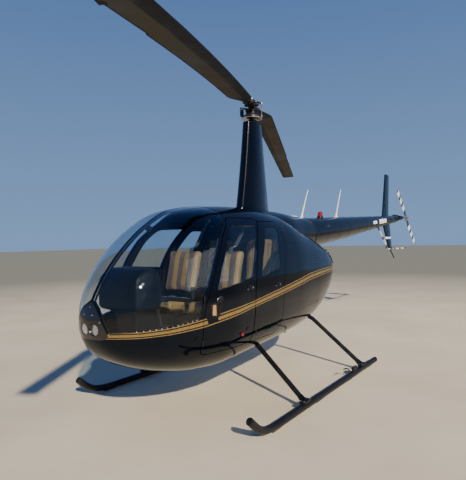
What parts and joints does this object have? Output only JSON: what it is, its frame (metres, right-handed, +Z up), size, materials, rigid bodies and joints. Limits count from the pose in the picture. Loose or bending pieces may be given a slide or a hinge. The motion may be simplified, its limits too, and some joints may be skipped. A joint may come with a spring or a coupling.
{
  "type": "light helicopter",
  "caption": "Light piston helicopter on skids, with an egg-shaped glazed cabin, a tall mast fairing, a teetering main rotor, a tapered tail boom, fins and a tail rotor.",
  "frame": {"origin": "middle of the rest box, on the ground under the skids", "axes": "+X aft along the tail boom, +Y to starboard, +Z up"},
  "size_m": [11.1023, 4.1852, 3.28],
  "materials": {
    "body_paint": "high gloss black with a blue cast",
    "satin_black": "satin black powder coat",
    "white_paint": "gloss white, striped black on the guard",
    "blade_paint": "matt dark brown-black blade paint",
    "rotor_metal": "machined grey metal",
    "engine_metal": "dull cast metal",
    "cabin_lining": "matt dark grey",
    "window_glass": "lightly tinted clear acrylic",
    "lamp_glass": "clear lamp lens",
    "red_lens": "red lens",
    "seat_leather": "tan leather with stripes"
  },
  "bodies": {
    "airframe": {"front_cross_tube": "satin_black", "rear_cross_tube": "satin_black", "skid_left": "satin_black", "skid_right": "satin_black", "cabin_shell": "body_paint", "belly_panel": "body_paint", "nose_cap": "satin_black", "landing_lamps": "lamp_glass", "windshield_left": "window_glass", "windshield_right": "window_glass", "firewall": "cabin_lining", "cabin_floor": "cabin_lining", "instrument_console": "cabin_lining", "cyclic_stick": "satin_black", "engine_block": "engine_metal", "engine_cowl_left": "body_paint", "engine_cowl_right": "body_paint", "tail_cowl": "body_paint", "upper_cowl": "body_paint", "upper_fin": "body_paint", "lower_fin": "body_paint", "tail_rotor_guard": "white_paint", "stabilizer_right": "body_paint", "tail_gearbox": "rotor_metal", "tail_boom": "body_paint", "antenna_front": "white_paint", "antenna_rear": "white_paint", "beacon": "red_lens", "mast_fairing": "body_paint", "front_seat_left": "seat_leather", "front_back_left": "seat_leather", "rear_seat_left": "seat_leather", "rear_back_left": "seat_leather", "front_seat_right": "seat_leather", "front_back_right": "seat_leather", "rear_seat_right": "seat_leather", "rear_back_right": "seat_leather"},
    "main_rotor": {"rotor_shaft": "rotor_metal", "rotor_head": "rotor_metal", "rotor_blade_aft": "blade_paint", "rotor_blade_forward": "blade_paint"},
    "tail_rotor": {"tail_rotor": "blade_paint"},
    "front_door_left": {"front_door_left": "body_paint", "front_window_left": "window_glass"},
    "rear_door_left": {"rear_door_left": "body_paint", "rear_window_left": "window_glass"},
    "front_door_right": {"front_door_right": "body_paint", "front_window_right": "window_glass"},
    "rear_door_right": {"rear_door_right": "body_paint", "rear_window_right": "window_glass"}
  },
  "joints": [
    {"name": "main_rotor_spin", "type": "hinge", "parent": "airframe", "child": "main_rotor", "pos_m": [-0.877, 0, 3.214], "axis": [0, 0, 1], "continuous": true},
    {"name": "tail_rotor_spin", "type": "hinge", "parent": "airframe", "child": "tail_rotor", "pos_m": [5.009, -0.231, 2.012], "axis": [0, 1, 0], "continuous": true},
    {"name": "front_door_left_hinge", "type": "hinge", "parent": "airframe", "child": "front_door_left", "pos_m": [-2.588, -0.572, 0.954], "axis": [-0.1482, -0.0395, -0.9882], "range_deg": [0, 75]},
    {"name": "rear_door_left_hinge", "type": "hinge", "parent": "airframe", "child": "rear_door_left", "pos_m": [-1.893, -0.643, 0.954], "axis": [-0.1188, -0.0792, -0.9898], "range_deg": [0, 80]},
    {"name": "front_door_right_hinge", "type": "hinge", "parent": "airframe", "child": "front_door_right", "pos_m": [-2.588, 0.572, 0.954], "axis": [0.1482, -0.0395, 0.9882], "range_deg": [0, 75]},
    {"name": "rear_door_right_hinge", "type": "hinge", "parent": "airframe", "child": "rear_door_right", "pos_m": [-1.893, 0.643, 0.954], "axis": [0.1188, -0.0792, 0.9898], "range_deg": [0, 80]}
  ],
  "couplings": [
    {"joint": "tail_rotor_spin", "follows": "main_rotor_spin", "ratio": 6}
  ]
}
